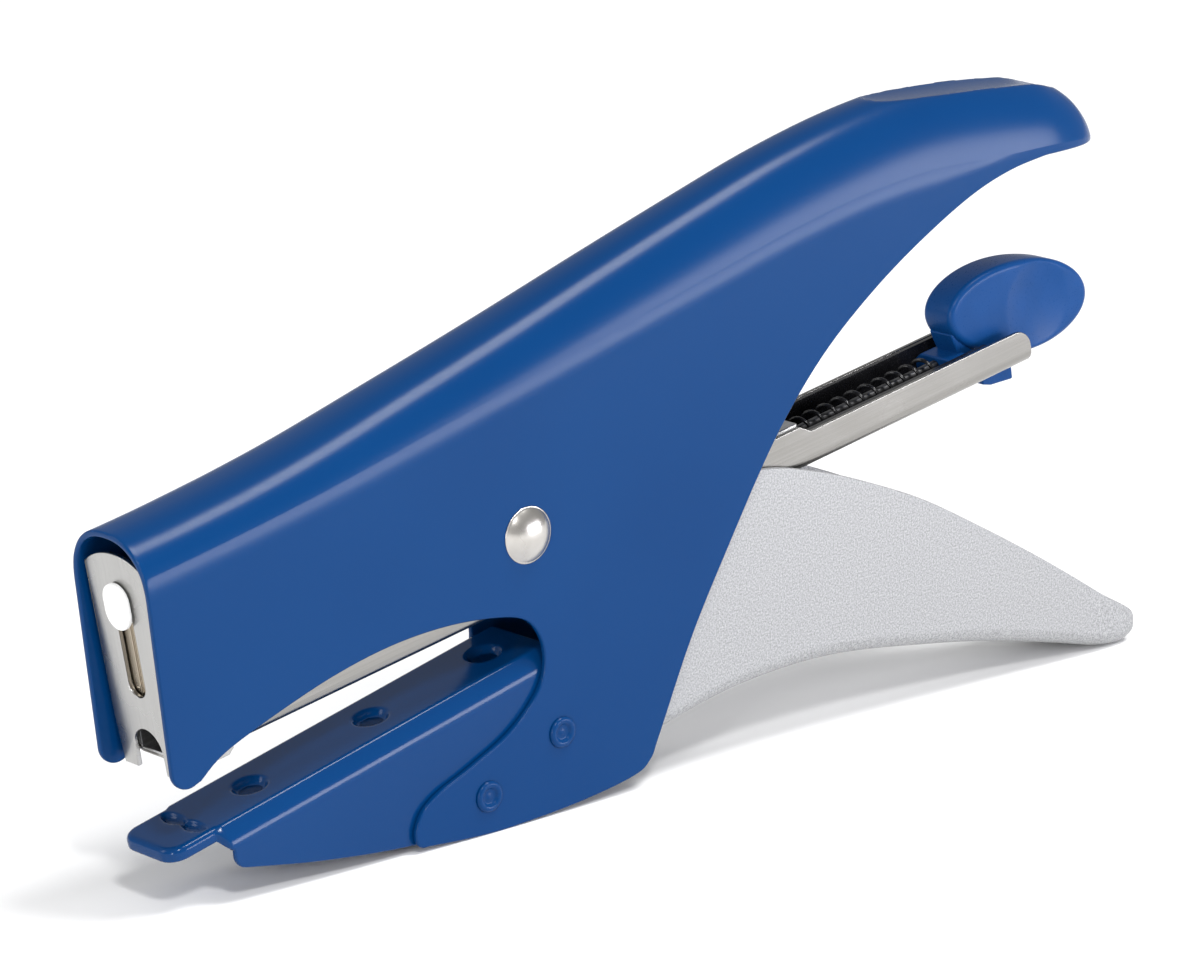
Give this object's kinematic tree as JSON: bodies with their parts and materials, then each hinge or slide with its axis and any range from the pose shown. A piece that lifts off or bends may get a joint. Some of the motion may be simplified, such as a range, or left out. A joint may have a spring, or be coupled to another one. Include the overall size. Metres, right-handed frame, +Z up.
{
  "type": "stapling plier",
  "caption": "Hand-held plier stapler: pressed handle and anvil jaw, spring-returned lever, pivoting magazine with nose driver and pull-out pusher.",
  "frame": {"origin": "middle of the overall box, on the surface the part stands on", "axes": "+X from the nose to the handles, +Z up, Y across the width"},
  "size_m": [0.2022, 0.0218, 0.0975],
  "materials": {
    "housing_shell": "satin blue powder paint",
    "anvil_arm": "glossy blue paint",
    "clinch_rivets": "painted over with the housing",
    "pivot_rivet": "nickel plated, polished dome",
    "pivot_spacer": "turned steel",
    "lever_handle": "silver paint with a fine grain",
    "lever_bushes": "plain",
    "drive_pin": "ground",
    "driver_blade": "hardened, warm grey",
    "driver_carrier": "blackened",
    "driver_button": "white nylon",
    "magazine_channel": "satin nickel, brushed along its length",
    "nose_plate": "satin nickel",
    "core_rail": "plain",
    "magazine_cover": "zinc plated",
    "staple_strip": "galvanised wire",
    "return_spring": "oiled spring wire",
    "pusher_rail": "black enamel",
    "guide_rod": "blackened",
    "thumb_knob": "moulded blue plastic, satin",
    "follower_shoe": "black",
    "follower_spring": "black oiled wire"
  },
  "bodies": {
    "housing": {"housing_shell": "housing_shell", "anvil_arm": "anvil_arm", "clinch_rivets": "clinch_rivets", "pivot_rivet": "pivot_rivet", "pivot_spacer": "pivot_spacer"},
    "lever": {"lever_handle": "lever_handle", "lever_bushes": "lever_bushes", "drive_pin": "drive_pin"},
    "driver": {"driver_blade": "driver_blade", "driver_carrier": "driver_carrier", "driver_button": "driver_button"},
    "magazine": {"magazine_channel": "magazine_channel", "nose_plate": "nose_plate", "core_rail": "core_rail", "magazine_cover": "magazine_cover", "staple_strip": "staple_strip", "return_spring": "return_spring"},
    "pusher": {"pusher_rail": "pusher_rail", "guide_rod": "guide_rod", "thumb_knob": "thumb_knob", "follower_spring": "follower_spring"},
    "follower": {"follower_shoe": "follower_shoe"}
  },
  "joints": [
    {"name": "lever_squeeze", "type": "hinge", "parent": "housing", "child": "lever", "pos_m": [-0.03046, 0, 0.04465], "axis": [0, -1, 0], "range_deg": [0, 14.4], "stiffness_Nm_per_rad": 2, "springref_deg": -8.59, "deforming": ["return_spring"]},
    {"name": "magazine_tilt", "type": "hinge", "parent": "housing", "child": "magazine", "pos_m": [-0.03046, 0, 0.04465], "axis": [0, -1, 0], "range_deg": [0, 8.2]},
    {"name": "driver_drop", "type": "slide", "parent": "magazine", "child": "driver", "axis": [0.1702, 0, -0.9854], "range_m": [0, 0.0063]},
    {"name": "pusher_pull", "type": "slide", "parent": "magazine", "child": "pusher", "axis": [-0.9854, 0, -0.1702], "range_m": [-0.09, 0]},
    {"name": "follower_travel", "type": "slide", "parent": "pusher", "child": "follower", "axis": [-0.9854, 0, -0.1702], "range_m": [-0.045, 0], "stiffness_N_per_m": 25, "springref_m": 0.03, "deforming": ["follower_spring"]}
  ],
  "couplings": [
    {"joint": "magazine_tilt", "follows": "lever_squeeze", "ratio": 0.5694},
    {"joint": "driver_drop", "follows": "lever_squeeze", "m_per_rad": 0.02503}
  ]
}
